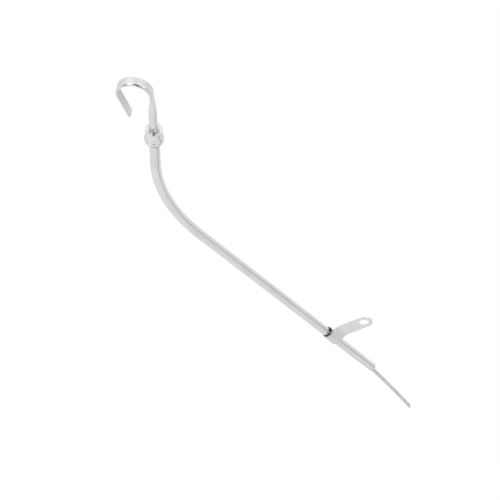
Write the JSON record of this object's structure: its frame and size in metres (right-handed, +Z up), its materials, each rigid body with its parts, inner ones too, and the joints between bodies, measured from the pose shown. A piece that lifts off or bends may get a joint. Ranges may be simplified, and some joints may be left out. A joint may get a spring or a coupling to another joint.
{
  "type": "engine oil dipstick",
  "caption": "Chrome engine oil dipstick with a hooked pull, a stop cap and a flexible blade, seated in its bent guide tube with a folded strap bracket.",
  "frame": {"origin": "centre of the guide tube's block end", "axes": "+Z up the tube's lower leg, +X toward the side the tube bends to and the bracket points to, +Y across the bend plane"},
  "size_m": [0.1074, 0.0172, 0.5298],
  "materials": {
    "guide_tube": "bright chrome plate on steel tube",
    "mounting_bracket": "bright chrome plate on folded steel strap",
    "pull_handle": "bright chrome plate with fine polishing lines",
    "stop_cap": "bright chrome plate on turned steel",
    "measuring_blade": "rolled spring steel strip"
  },
  "bodies": {
    "guide": {"guide_tube": "guide_tube", "mounting_bracket": "mounting_bracket"},
    "dipstick": {"pull_handle": "pull_handle", "stop_cap": "stop_cap", "measuring_blade": "measuring_blade"}
  },
  "joints": [
    {"name": "dipstick_pull", "type": "slide", "parent": "guide", "child": "dipstick", "axis": [0.6561, 0, 0.7547], "range_m": [0, 0.44], "deforming": ["measuring_blade"]}
  ]
}
